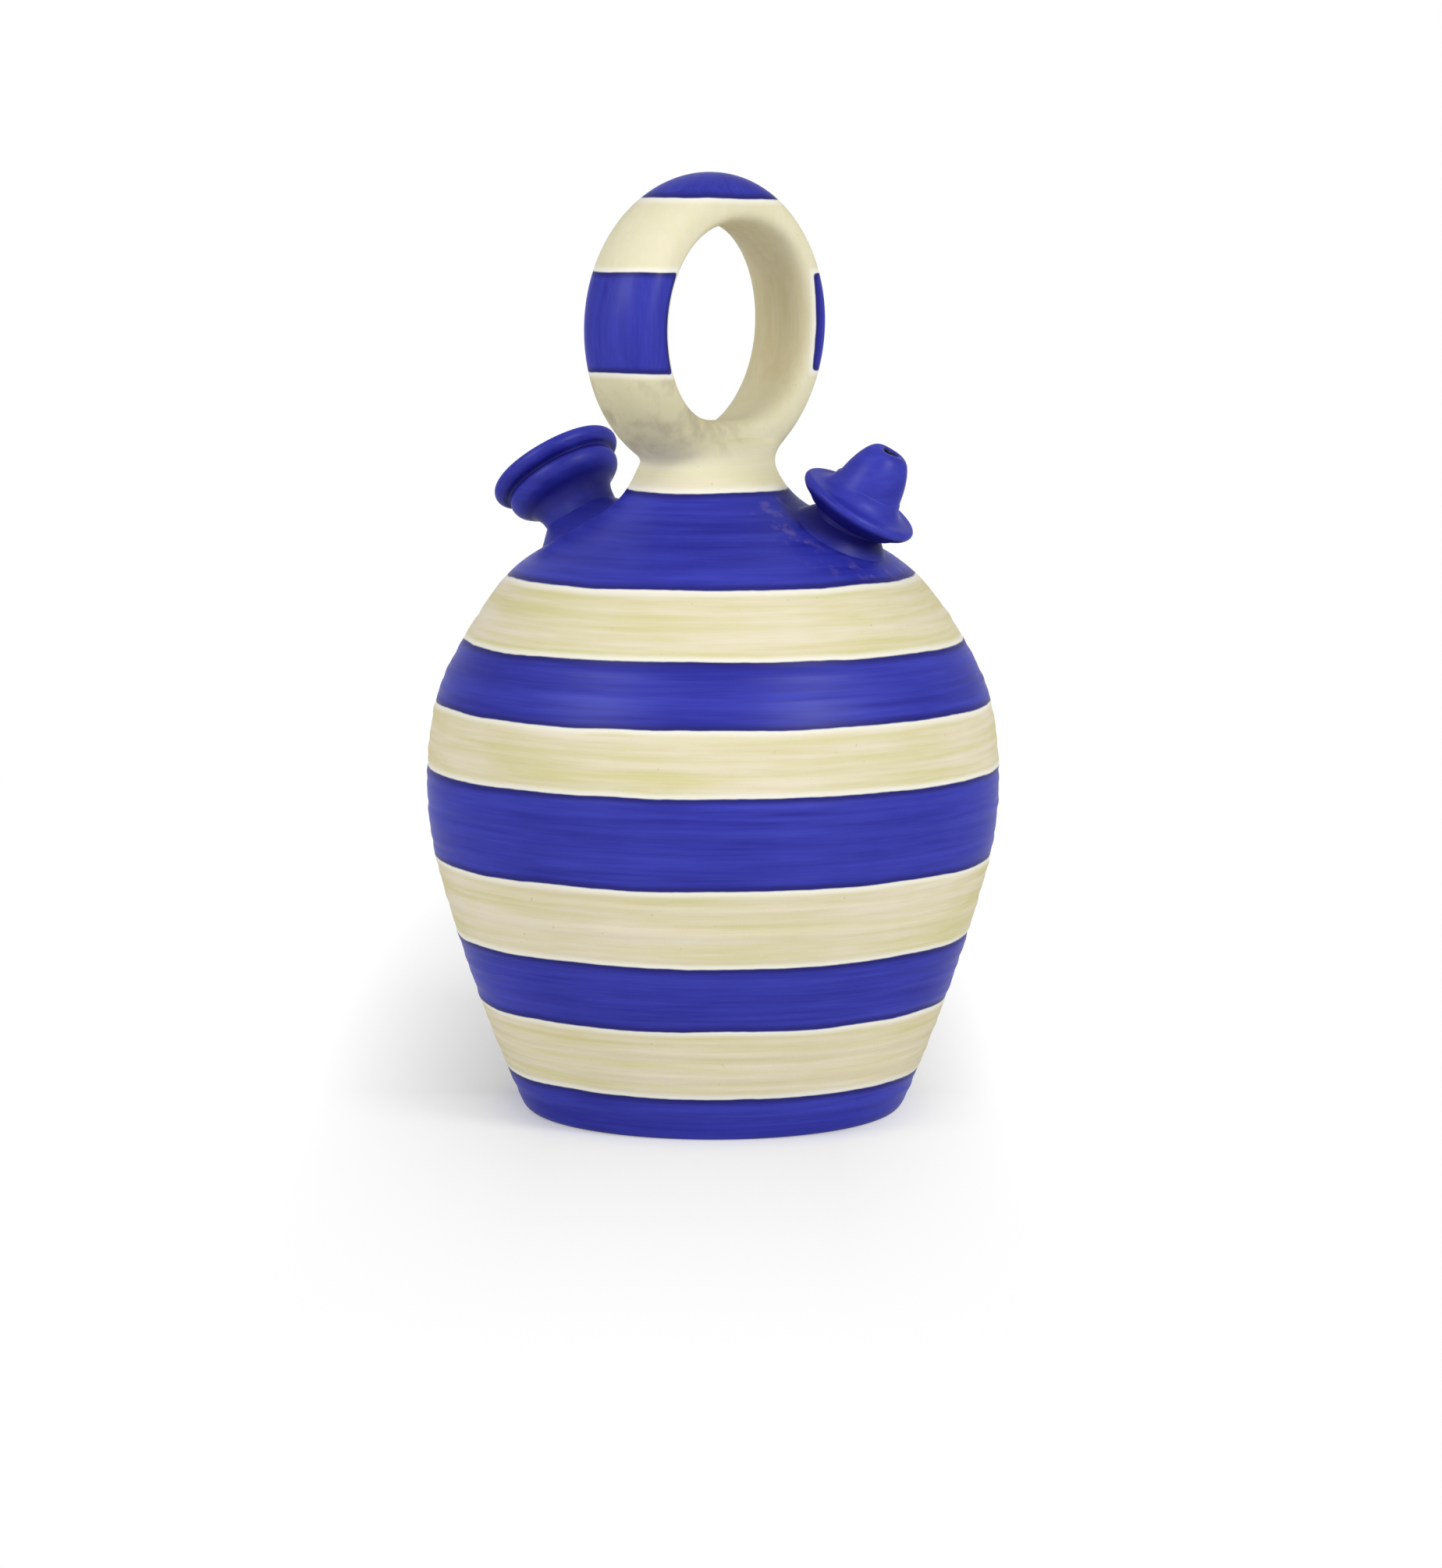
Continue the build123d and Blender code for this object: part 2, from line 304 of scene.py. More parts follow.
paintColour = dict(
    creamYellow=screenColour(217, 210, 158),
    creamPink=screenColour(234, 224, 202),
    creamRing=screenColour(236, 230, 199),  # the slip is whiter on the stem and the ring
    # the browner tone and painted shade of the ring's inside
    ringInsideToneAndShade=screenColour(220, 208, 166),
    # painted shade of the crease where the ring meets the stem
    ringCreaseShade=screenColour(214, 207, 170),
    ringSmudge=screenColour(172, 160, 134),
    pale=screenColour(245, 243, 231),
    blueDark=screenColour(35, 38, 148),
    blueLight=screenColour(55, 60, 176),
    # lines where the brush stopped, and also the painted shade of the joints
    blueLineAndShade=screenColour(17, 14, 100),
    rubbed=screenColour(104, 92, 160),
    # painted shade inside the spout's hole
    hole=screenColour(14, 10, 54),
    bare=screenColour(206, 190, 154),
    bareDark=screenColour(186, 168, 132),
)
sheenFinish = dict(
    weight=0.052,  # the soft sheen of the blue
    rough=0.45,
    index=4.0,  # of refraction, so high that the sheen is about as strong from all sides
)


def startMaterial(name):
    material = bpy.data.materials.new(name)
    material.use_nodes = True
    tree = material.node_tree
    tree.nodes.clear()
    flow = Flow(tree)
    position = flow.node("TexCoord", output="Object")
    return material, flow, position.stretched((1 / mm,) * 3)


def finishMaterial(flow, colour, roughness, height, shine, sheen=0.0):
    bump = flow.node("Bump", {}, {"Strength": 1.0, "Distance": mm, "Height": height}, "Normal")
    sockets = {
        "Base Color": colour,
        "Roughness": roughness,
        "Normal": bump,
        "Specular IOR Level": shine,
        "Coat Weight": sheen,
        "Coat Roughness": sheenFinish["rough"],
        "Coat IOR": sheenFinish["index"],
    }
    surface = flow.node("BsdfPrincipled", {}, sockets)
    flow.node("OutputMaterial", {}, {"Surface": surface})


bandPaint = dict(
    bands=[(-5.0, 15.6), (39.9, 62.7), (89.3, 120.5), (142.5, 163.8), (186.1, 215.4)],  # heights
    slowWaver=(0.03, 2.0, 0.4),  # noises by which the edges of all paint stray
    slowReach=2.0,
    fineWaver=(0.25, 1.0, 0.4),
    fineReach=0.25,
    edgeSoft=0.3,
    darkLine=(0.7, 2.7),  # the line inside an edge, where the brush stopped, and the pale one outside it
    darkShare=0.8,
    paleLine=(0.5, 2.5),
    paleShare=0.85,
)


def bodyPaint(flow, position, wobble):
    # how far a point lies inside the blue of the body's bands, in millimetres
    height = position.dot(upward) + wobble
    inside = None
    for low, high in bandPaint["bands"]:
        depth = (height - low).least(high - height)
        inside = depth if inside is None else inside.most(depth)
    return inside


def ringReachOut(flow, position):
    # how far a point lies along the ring, and how far from its middle
    along = position.dot(tuple(ringAlong)) - float(ringMiddle @ ringAlong)
    up = position.dot(tuple(ringUp)) - float(ringMiddle @ ringUp)
    return along, flow.math("SQRT", along * along + up * up)


ringPatches = dict(
    top=314.0,  # height where the top patch starts
    sides=(255.4, 289.2),  # heights between which the side patches lie
    tilt=0.02,
    edges=(38.6, 40.0),  # how far from the ring's middle they start, on the mouth's side and the spout's
    corner=3.0,
)


def ringPaint(flow, position, wobble):
    # patches on the outer half of the ring, between two heights and over the top
    along, distance = ringReachOut(flow, position)
    height = position.dot(upward) + along * ringPatches["tilt"] + wobble
    low, high = ringPatches["sides"]
    left, right = ringPatches["edges"]
    outside = ((along + distance) / 2 - right).most((distance - left).least(0 - along)) + wobble
    between = (height - low).least(high - height)
    sockets = {0: between, 1: outside, 2: ringPatches["corner"]}
    sides = flow.node("Math", {"operation": "SMOOTH_MIN"}, sockets)
    return sides.most(height - ringPatches["top"])


ringShadeAndGrimeSize = dict(
    inside=(35.0, 39.5),  # distances from the ring's middle over which the darker brown of its inside, tone and painted shade, fades out
    insideFrom=(238.0, 258.0),  # and heights over which it fades in
    streakLines=(0.35, 0.35, 0.03),
    streakNoise=(1.0, 3.0, 0.6),
    streakFade=(0.3, 0.7),
    streakShare=0.45,
    creaseShadeFrom=(224.0, 234.0),  # heights over which the painted shade in the crease and its grime fade in, and out again
    creaseShadeTo=(242.0, 270.0),
    creaseShadeSide=(-18.0, 16.0),  # and where it fades out along the ring, away from the mouth
    smudgeNoise=(0.12, 3.0, 0.55),
    smudgeFade=(0.42, 0.76),
    smudgeShare=0.6,
)


def ringShadeAndGrime(flow, position, cream):
    # the inside of the ring is painted darker and browner, partly a browner tone and partly painted
    # shade, and the mouth's side has painted shade and blotches of grime in the crease where it meets the
    # stem
    ringLook = ringShadeAndGrimeSize
    along, distance = ringReachOut(flow, position)
    height = position.dot(upward)
    # the inside of the ring darker and browner: a browner tone, and painted shade
    inside = (1 - distance.step(*ringLook["inside"])) * height.step(*ringLook["insideFrom"])
    streak = position.stretched(ringLook["streakLines"]).noise(*ringLook["streakNoise"]).step(*ringLook["streakFade"])
    insideToneAndShade = inside * (1 - ringLook["streakShare"] + streak * ringLook["streakShare"])
    cream = insideToneAndShade.mix(cream, paintColour["ringInsideToneAndShade"])
    # painted shade in the crease between the ring and the stem, on the mouth's side, with blotches of
    # grime
    creaseShadeAndGrime = height.step(*ringLook["creaseShadeFrom"]) * (1 - height.step(*ringLook["creaseShadeTo"]))
    creaseShadeAndGrime = creaseShadeAndGrime * (1 - along.step(*ringLook["creaseShadeSide"]))
    cream = creaseShadeAndGrime.mix(cream, paintColour["ringCreaseShade"])
    smudge = position.noise(*ringLook["smudgeNoise"]).step(*ringLook["smudgeFade"]) * creaseShadeAndGrime * ringLook["smudgeShare"]
    return smudge.mix(cream, paintColour["ringSmudge"])


jointShadeAndRubs = dict(
    joints=[
        # how strongly painted shade darkens each joint, and how far out along the shoulder that fades.
        # Above it are belts of painted shade, under the mouth's collar and lip and under the brim, which
        # fade in and out along the axis and lie this far across from it
        dict(
            mount="mouth_throat", coil="mouth_coil", paintedShade=0.4, reach=(15.0, 26.0),
            shadeBelts=[
                dict(fadeIn=(7.0, 11.0), fadeOut=(14.0, 17.0), across=(0.0, 21.0), strength=0.6),
                dict(fadeIn=(21.0, 22.4), fadeOut=(23.2, 24.4), across=(18.5, 22.0), strength=0.75),
            ],
        ),
        dict(
            mount="drinking_hole", coil="spout_coil", paintedShade=0.9, reach=(13.5, 20.5),
            shadeBelts=[dict(fadeIn=(3.0, 6.0), fadeOut=(9.5, 12.0), across=(0.0, 20.7), strength=0.85)],
        ),
    ],
    shadeBeltSoft=0.5,
    rise=(5.0, 12.0),  # where the painted shade and the rubbing fade out with height
    rubReach=(17.0, 24.0, 40.0),  # rubbed paint starts, is strongest and ends this far from a joint
    rubNoise=(0.16, 3.0, 0.6),
    rubFade=(0.5, 0.72),
    rubShare=0.55,
    # across and along the axis, where the painted shade of the spout's hole ends
    holeShadeEdge=(2.3, 3.0),
    holeShadeRise=(20.0, 26.0),
)


def jointShadeAndRubbing(flow, position, blue):
    # paint is rubbed round the two joints on the shoulder, and painted shade darkens them, the places
    # under the mouth's collar and lip and under the brim, and most of all the spout's hole
    marks = jointShadeAndRubs
    worn = position.noise(*marks["rubNoise"]).step(*marks["rubFade"]) * marks["rubShare"]
    begins, full, ends = marks["rubReach"]
    soft = marks["shadeBeltSoft"]
    for joint in marks["joints"]:
        axis = np.array(mounts[joint["mount"]]["axis"])
        seat = np.array(mounts[joint["mount"]]["pos_m"]) / mm
        seat = seat + axis * float((np.mean(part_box(joint["coil"]), axis=0) / mm - seat) @ axis)
        rise = position.dot(tuple(axis)) - float(seat @ axis)
        away = position.distance(tuple(seat))
        across = flow.math("SQRT", (away * away - rise * rise).most(0.0))
        low = 1 - rise.step(*marks["rise"])
        rub = away.step(begins, full) * (1 - away.step(full, ends)) * low * worn
        blue = rub.mix(blue, paintColour["rubbed"])
        # painted shade round the joint, where the neck and the brim shade the shoulder
        paintedShade = (1 - away.step(*joint["reach"])) * low * joint["paintedShade"]
        blue = paintedShade.mix(blue, paintColour["blueLineAndShade"])
        # belts of painted shade where the collar, the lip and the brim overhang
        for shadeBelt in joint["shadeBelts"]:
            near, far = shadeBelt["across"]
            beltShade = rise.step(*shadeBelt["fadeIn"]) * (1 - rise.step(*shadeBelt["fadeOut"])) * shadeBelt["strength"]
            beltShade = beltShade * across.step(near - soft, near + soft)
            beltShade = beltShade * (1 - across.step(far - soft, far + soft))
            blue = beltShade.mix(blue, paintColour["blueLineAndShade"])
    # the last joint is the spout's, whose hole lies on the same axis: its inside gets painted shade, near
    # black
    hole = (1 - across.step(*marks["holeShadeEdge"])) * rise.step(*marks["holeShadeRise"])
    return hole.mix(blue, paintColour["hole"])


clayFinish = dict(
    brush=(1.0, 4.0, 0.6),  # scale, detail and roughness of each noise
    ridges=(1.0, 2.0, 0.5),
    ridgeStretch=0.35,
    ridgeShare=0.8,
    cloud=(0.022, 3.0, 0.55),
    grain=(1.3, 4.0, 0.6),
    speck=(0.55, 1.0, 0.4),
    speckEdge=(0.77, 0.8),
    speckShare=0.35,
    whiterFrom=(210.0, 226.0),  # heights over which the slip turns whiter
    whiterShare=0.65,
    rough=0.8,  # of the slip, and how much grain, paint and brush marks change it
    roughGrain=0.15,
    roughPaint=0.45,
    roughBrush=0.3,
    grainHeight=0.07,  # relief in millimetres, most of which the paint fills
    grainFilled=0.06,
    brushHeight=0.03,
    paintHeight=0.03,
    shine=0.02,
)


def paintedClay(name, paint, marks, shadeAndGrime=None):
    # cream slip with blue paint. Without a paint function it is blue all over
    size = clayFinish
    lines, streaks = marks
    material, flow, position = startMaterial(name)
    brush = position.stretched(lines).swing(*size["brush"])
    ridges = position.stretched([value * size["ridgeStretch"] for value in lines]).swing(*size["ridges"])
    cloud = position.swing(*size["cloud"])
    grain = position.swing(*size["grain"])
    tone = 0.5 + brush * streaks + ridges * (size["ridgeShare"] * streaks) + cloud
    cream = tone.mix(paintColour["creamYellow"], paintColour["creamPink"])
    whiter = position.dot(upward).step(*size["whiterFrom"]) * size["whiterShare"]
    cream = whiter.mix(cream, paintColour["creamRing"])
    speck = position.noise(*size["speck"]).step(*size["speckEdge"]) * size["speckShare"]
    cream = speck.mix(cream, paintColour["bareDark"])
    # painted shade and grime, on the ring and the stem
    if shadeAndGrime is not None:
        cream = shadeAndGrime(flow, position, cream)
    blue = tone.mix(paintColour["blueDark"], paintColour["blueLight"])
    blue = jointShadeAndRubbing(flow, position, blue)
    if paint is None:
        colour = blue
        covered = 1.0
    else:
        slow = position.swing(*bandPaint["slowWaver"]) * bandPaint["slowReach"]
        fine = position.swing(*bandPaint["fineWaver"]) * bandPaint["fineReach"]
        depth = paint(flow, position, slow + fine)
        covered = depth.step(-bandPaint["edgeSoft"], bandPaint["edgeSoft"])
        darkLine = (1 - depth.step(*bandPaint["darkLine"])) * bandPaint["darkShare"]
        near, far = bandPaint["paleLine"]
        paleLine = depth.step(-far, -near) * bandPaint["paleShare"]
        cream = paleLine.mix(cream, paintColour["pale"])
        colour = covered.mix(cream, darkLine.mix(blue, paintColour["blueLineAndShade"]))
    smoothed = (size["roughPaint"] - brush * size["roughBrush"]) * covered
    roughness = size["rough"] + grain * size["roughGrain"] - smoothed
    height = grain * (size["grainHeight"] - size["grainFilled"] * covered)
    height = height + brush * (size["brushHeight"] * streaks) + covered * size["paintHeight"]
    finishMaterial(flow, colour, roughness, height, size["shine"], covered * sheenFinish["weight"])
    return material


bareFinish = dict(
    cloud=(0.06, 4.0, 0.6),
    grain=(0.9, 5.0, 0.65),
    lineStretch=(0.03, 0.03, 0.5),
    lines=(1.0, 3.0, 0.5),
    toneFade=(0.35, 0.65),
    rough=0.82,
    roughGrain=0.2,
    grainHeight=0.12,
    shine=0.3,
)


def bareClay():
    # unpainted fired clay of the inside and the underside
    size = bareFinish
    material, flow, position = startMaterial("bare_clay")
    cloud = position.noise(*size["cloud"])
    grain = position.noise(*size["grain"])
    lines = position.stretched(size["lineStretch"]).noise(*size["lines"])
    tone = (cloud + lines + grain) / 3
    colour = tone.step(*size["toneFade"]).mix(paintColour["bareDark"], paintColour["bare"])
    relief = grain - 0.5
    roughness = size["rough"] + relief * size["roughGrain"]
    finishMaterial(flow, colour, roughness, relief * size["grainHeight"], size["shine"])
    return material


brushMarks = dict(
    # how finely the marks change along x, y and z, and how strong they are
    body=((0.022, 0.022, 0.6), 2.0),
    ring=((0.45, 0.45, 0.04), 1.4),
    fittings=((0.12, 0.12, 0.3), 1.6),
)
bodyClay = paintedClay("banded_clay", bodyPaint, brushMarks["body"])
stemClay = paintedClay("stem_clay", bodyPaint, brushMarks["body"], ringShadeAndGrime)
jointClay = paintedClay("joint_clay", None, brushMarks["body"])
ringClay = paintedClay("ring_clay", ringPaint, brushMarks["ring"], ringShadeAndGrime)
blueClay = paintedClay("blue_clay", None, brushMarks["fittings"])
rawClay = bareClay()
print("materials made")


# Body: floor, belly and shoulder, all turned round the upright axis

bodySize = dict(
    footRadius=65.0,
    footRounding=3.0,
    girthRadius=98.6,
    girthHeight=114.5,
    bellyRadius=120.0,
    bellyTurn=15.0,
    shoulder=[(128.0, 11.0), (60.0, 16.0), (180.0, 9.5), (50.0, 22.9)],  # radius and turn of each curve
    seatRadius=22.0,  # the cone runs on to here under the stem
    wall=7.0,
    floorThickness=9.0,
    columns=320,
    cornerSteps=8,
    lidStep=4.0,  # how far apart rows lie on top of the floor, and on the other flats
    flatStep=3.0,
    crownDepth=14.0,  # clay between the seat of the stem and the ceiling inside
    rodReach=25.0,  # half the length of the rods that cut the two holes in the shoulder
    rodColumns=64,
    ridge=0.09,  # height of the throwing marks, then the rise, strength and start of each spiral
    spirals=[(7.1, 1.0, 0.0), (4.3, 0.7, 1.3), (12.7, 0.8, 4.0)],
    outOfRound=0.35,  # and the number, strength, start and twist of the lobes that it is made of
    lobes=[(2, 0.6, 0.6, 0.0), (3, 0.4, 2.1, 1 / 45)],
    offAxis=0.5,
    offAxisTurn=23.0,
    smoothAbove=(172.0, 190.0),  # marks fade out towards the seats of the mouth and the spout
    leastRadius=20.0,  # and near the axis
)


def bodyLines(inset):
    # the lower line from the girth to the foot and the upper line from the girth to the crown
    size = bodySize
    girth = (size["girthRadius"] - inset, size["girthHeight"])
    belly = arcLine(girth, -90, size["bellyRadius"] - inset, -size["bellyTurn"])
    turn = math.radians(size["bellyTurn"])
    outerEnd = belly[-1] + inset * np.array((math.cos(turn), -math.sin(turn)))
    chord = np.array((size["footRadius"], 0.0)) - outerEnd
    inward = np.array((-math.cos(turn), math.sin(turn)))
    lean = chord @ inward
    flankRadius = chord @ chord / (2 * lean)
    flankTurn = 2 * math.degrees(math.asin(lean / np.linalg.norm(chord)))
    flank = arcLine(belly[-1], -90 - size["bellyTurn"], flankRadius - inset, -flankTurn)
    lower = np.vstack((belly, flank[1:]))
    upper = [np.array([girth])]
    heading = 90
    for radius, curveTurn in size["shoulder"]:
        upper.append(arcLine(upper[-1][-1], heading, radius - inset, curveTurn)[1:])
        heading += curveTurn
    last = upper[-1][-1]
    run = (size["seatRadius"] - last[0]) / math.cos(math.radians(heading))
    end = last + run * np.array((math.cos(math.radians(heading)), math.sin(math.radians(heading))))
    upper.append(straightLine(last, end)[1:])
    return lower, np.vstack(upper)


def bodyMarks(points):
    # throwing ridges that climb in a spiral, on a wall that is a little out of round
    size = bodySize
    angle = np.arctan2(points[..., 1], points[..., 0])
    height = points[..., 2]
    slow = sum(
        share * np.sin(count * angle + start + twist * height)
        for count, share, start, twist in size["lobes"]
    )
    fine = sum(
        share * np.sin(2 * math.pi * height / rise + angle + start)
        for rise, share, start in size["spirals"]
    )
    low, high = size["smoothAbove"]
    fade = np.clip((high - height) / (high - low), 0, 1)
    shift = size["offAxis"] * np.cos(angle - math.radians(size["offAxisTurn"]))
    push = fade * (size["outOfRound"] * slow + size["ridge"] * fine + shift)
    radius = np.hypot(points[..., 0], points[..., 1])
    marked = points.copy()
    marked[..., :2] *= (1 + push / np.maximum(radius, size["leastRadius"]))[..., None]
    return marked


upright = dict(
    origin=np.zeros(3),
    x=np.array((1.0, 0.0, 0.0)),
    y=np.array((0.0, 1.0, 0.0)),
    z=np.array(upward),
)
outerLow, outerHigh = bodyLines(0.0)
innerLow, innerHigh = bodyLines(bodySize["wall"])


def cutAt(line, height):
    # the part of a falling line above a height, with a point at the height itself
    above = line[line[:, 1] > height]
    radius = np.interp(height, line[::-1, 1], line[::-1, 0])
    return np.vstack((above, (radius, height)))


def buildFloor():
    size = bodySize
    top = size["floorThickness"]
    below = outerLow[outerLow[:, 1] <= top]
    edge = np.interp(top, outerLow[::-1, 1], outerLow[::-1, 0])
    rounding = size["footRounding"]
    side = below[below[:, 1] > rounding]
    turnIn = size["footRadius"] - rounding
    # the corner is a curve that starts down the side and ends along the ground
    start = side[-1]
    corner = np.array((size["footRadius"], 0.0))
    end = np.array((turnIn, 0.0))
    share = np.linspace(0, 1, size["cornerSteps"] + 1)[1:, None]
    curve = (1 - share) ** 2 * start + 2 * share * (1 - share) * corner + share**2 * end
    under = straightLine((turnIn, 0.0), (0.0, 0.0), size["flatStep"])[1:]
    lid = straightLine((0.0, top), (edge, top), size["lidStep"])
    section = np.vstack((lid, side, curve, under))
    rows = bodyMarks(spin(section, upright, size["columns"]))
    rows[..., 2] = np.maximum(rows[..., 2], 0.0)
    outside = range(len(lid) - 1, len(lid) + len(side) + len(curve) - 2)
    newPiece(
        "floor_slab", rows, (bodyClay, rawClay), "floor_disc",
        inner=lambda row: row not in outside,
    )


def buildBelly():
    top = bodySize["floorThickness"]
    outside = cutAt(outerLow, top)
    inside = cutAt(innerLow, top)[::-1]
    section = np.vstack((outside, inside))
    rows = bodyMarks(spin(section, upright, bodySize["columns"]))
    newPiece(
        "belly_bowl", rows, (bodyClay, rawClay), "belly_wall",
        loop=True, inner=lambda row: row >= len(outside) - 1,
    )


def buildShoulder():
    size = bodySize
    ceiling = outerHigh[-1, 1] - size["crownDepth"]
    inside = innerHigh[innerHigh[:, 1] < ceiling]
    crown = straightLine((0.0, outerHigh[-1, 1]), outerHigh[-1], size["flatStep"])[:-1]
    under = straightLine(inside[-1], (0.0, inside[-1, 1]), size["flatStep"])[1:]
    outside = np.vstack((crown, outerHigh[::-1]))
    section = np.vstack((outside, inside, under))
    rows = bodyMarks(spin(section, upright, size["columns"]))
    dome = newPiece(
        "shoulder_dome_skin", rows, (bodyClay, rawClay), "shoulder_dome",
        inner=lambda row: row >= len(outside) - 1,
    )
    reach = size["rodReach"]
    for place, radius in ((mouthPlace, mouthSize["pierced"]), (spoutPlace, spoutSize["pierced"])):
        section = np.array(((0, -reach), (radius, -reach), (radius, reach), (0, reach)), float)
        pierce(dome, spin(section, place, size["rodColumns"]))


def pierce(piece, rows):
    # cuts a hole with a plain rod, which is thrown away
    columns = rows.shape[1]
    ring = np.arange(columns)
    faces = [(ring + columns).tolist(), (ring + 2 * columns)[::-1].tolist()]
    for a in range(columns):
        b = (a + 1) % columns
        faces.append((columns + b, columns + a, 2 * columns + a, 2 * columns + b))
    mesh = bpy.data.meshes.new("rod")
    mesh.from_pydata((rows.reshape(-1, 3) * mm).tolist(), [], faces)
    work = bmesh.new()
    work.from_mesh(mesh)
    bmesh.ops.delete(work, geom=[v for v in work.verts if not v.link_faces], context="VERTS")
    bmesh.ops.recalc_face_normals(work, faces=work.faces)
    work.to_mesh(mesh)
    work.free()
    rod = bpy.data.objects.new("rod", mesh)
    bpy.context.scene.collection.objects.link(rod)
    cut = piece.modifiers.new("hole", "BOOLEAN")
    cut.object = rod
    cut.operation = "DIFFERENCE"
    cut.solver = "EXACT"
    bpy.context.view_layer.update()
    graph = bpy.context.evaluated_depsgraph_get()
    whole = piece.data
    piece.data = bpy.data.meshes.new_from_object(piece.evaluated_get(graph))
    piece.modifiers.clear()
    bpy.data.meshes.remove(whole)
    bpy.data.objects.remove(rod)


# The shoulder as a field, for what stands on it

domeRadii, domeHeights = outerHigh[::-1].T
domeSlopes = 1 / np.hypot(1, np.gradient(domeHeights, domeRadii))


def domeField(points):
    radius = np.hypot(points[..., 0], points[..., 1])
    above = points[..., 2] - np.interp(radius, domeRadii, domeHeights)
    return above * np.interp(radius, domeRadii, domeSlopes)


def seatPlace(mount, corrections=30):
    # where an axis of the frame meets the shoulder
    along = np.array(mount["axis"])
    point = np.array(mount["pos_m"]) / mm
    for _ in range(corrections):
        point = point - along * domeField(point)
    return placeAt(point, along)


mouthPlace = seatPlace(mounts["mouth_throat"])
spoutPlace = seatPlace(mounts["drinking_hole"])


# Carrying ring: a strap, rounder outside than inside, and thicker on the mouth's side

ringSize = dict(
    edgeRadius=42.0,
    halfWidth=15.0,
    outerDepth=10.3,
    innerDepth=7.8,
    outerPower=2.05,
    innerPower=2.7,
    skew=0.081,  # share by which the strap is thicker on one side and thinner on the other
    sill=0.38,  # how far the inside of the strap slopes across its width at the bottom
    bottomRise=0.21,  # share by which it is thicker inside there, and the degrees over which that fades
    bottomSpread=23.0,
    outerEase=0.1,  # share by which the strap is thinner outside at its upper corners
    innerEase=(0.12, 0.25),  # and inside at its lower corners and its upper right one
    waves=[(3, 0.12, 0.7), (5, 0.1, 2.0)],  # times round, height and start of each slow wave of the strap
    columns=288,
    around=96,
)


def ringScale(share):
    return 1 - ringSize["skew"] * share


def buildRing():
    size = ringSize
    turn = np.linspace(0, 2 * math.pi, size["columns"], endpoint=False)[None, :]
    angle = np.linspace(0, 2 * math.pi, size["around"], endpoint=False)[:, None]
    cosine, sine = np.cos(angle), np.sin(angle)
    power = np.where(cosine > 0, size["outerPower"], size["innerPower"])
    depth = np.where(cosine > 0, size["outerDepth"], size["innerDepth"])
    out = depth * np.sign(cosine) * np.abs(cosine) ** (2 / power)
    side = size["halfWidth"] * np.sign(sine) * np.abs(sine) ** (2 / power)
    out = out * (1 + size["sill"] * np.clip(-np.sin(turn), 0, 1) ** 2 * sine * (cosine < 0))
    bottom = np.exp(-(((turn - 1.5 * math.pi) / math.radians(size["bottomSpread"])) ** 2))
    out = out * (1 + size["bottomRise"] * bottom * (cosine < 0))
    corner = 4 * (np.sin(turn) * np.cos(turn)) ** 2
    high = np.sin(turn) > 0
    lowEase, highEase = size["innerEase"]
    inner = np.where(high, highEase * (np.cos(turn) > 0), lowEase)
    out = out * (1 - corner * np.where(cosine < 0, inner, size["outerEase"] * high))
    scale = ringScale(np.cos(turn))
    wave = sum(height * np.sin(times * turn + start) for times, height, start in size["waves"])
    radius = size["edgeRadius"] + scale * out + wave
    outward = np.cos(turn)[..., None] * ringAlong + np.sin(turn)[..., None] * ringUp
    rows = ringMiddle + radius[..., None] * outward + (scale * side)[..., None] * ringThrough
    newPiece("carrying_ring", rows, (ringClay,), "ring_handle", loop=True)


def ringField(points):
    size = ringSize
    offset = points - ringMiddle
    along, up, through = offset @ ringAlong, offset @ ringUp, offset @ ringThrough
    distance = np.hypot(along, up)
    scale = ringScale(along / np.maximum(distance, tiny))
    out = (distance - size["edgeRadius"]) / scale
    side = np.abs(through) / scale / size["halfWidth"]
    outer = (np.abs(out) / size["outerDepth"]) ** size["outerPower"] + side ** size["outerPower"]
    inner = (np.abs(out) / size["innerDepth"]) ** size["innerPower"] + side ** size["innerPower"]
    level = np.where(out > 0, outer ** (1 / size["outerPower"]), inner ** (1 / size["innerPower"]))
    level = np.maximum(level, tiny)
    return np.hypot(out, side * size["halfWidth"]) * (1 - 1 / level) * scale


# Stem: flared onto the shoulder, and smoothed up into the ring

stemSize = dict(
    offset=1.8,
    footRadius=29.2,
    footHeight=210.7,
    flare=0.1,
    waistRadius=20.8,
    waistHeight=229.3,
    capRadius=6.0,
    capHeight=234.6,
    oval=0.15,  # longer along the ring than across it, from the shoulder up to the waist
    ovalFrom=214.0,
    slope=0.93,  # turns a distance across the axis into one across the flank
    footBlend=5.0,
    ringBlend=(3.5, 6.5),  # on the mouth's side and on the spout's side
    blendSpan=40.0,  # how far along the ring it goes from one to the other
    blendEnd=(236.5, 6.0),  # height where the blend has run out, and how far below it starts to
    leastBlend=0.02,
    startOut=9.0,  # the skin is traced from this far outside the foot, inwards and up
    heading=(-1.0, 0.6),
    toeDrop=1.5,  # how far its first row goes under the shoulder, and its last towards the strap's middle
    dip=0.06,
    rootDepth=6.0,
    columns=240,
    rows=64,
)


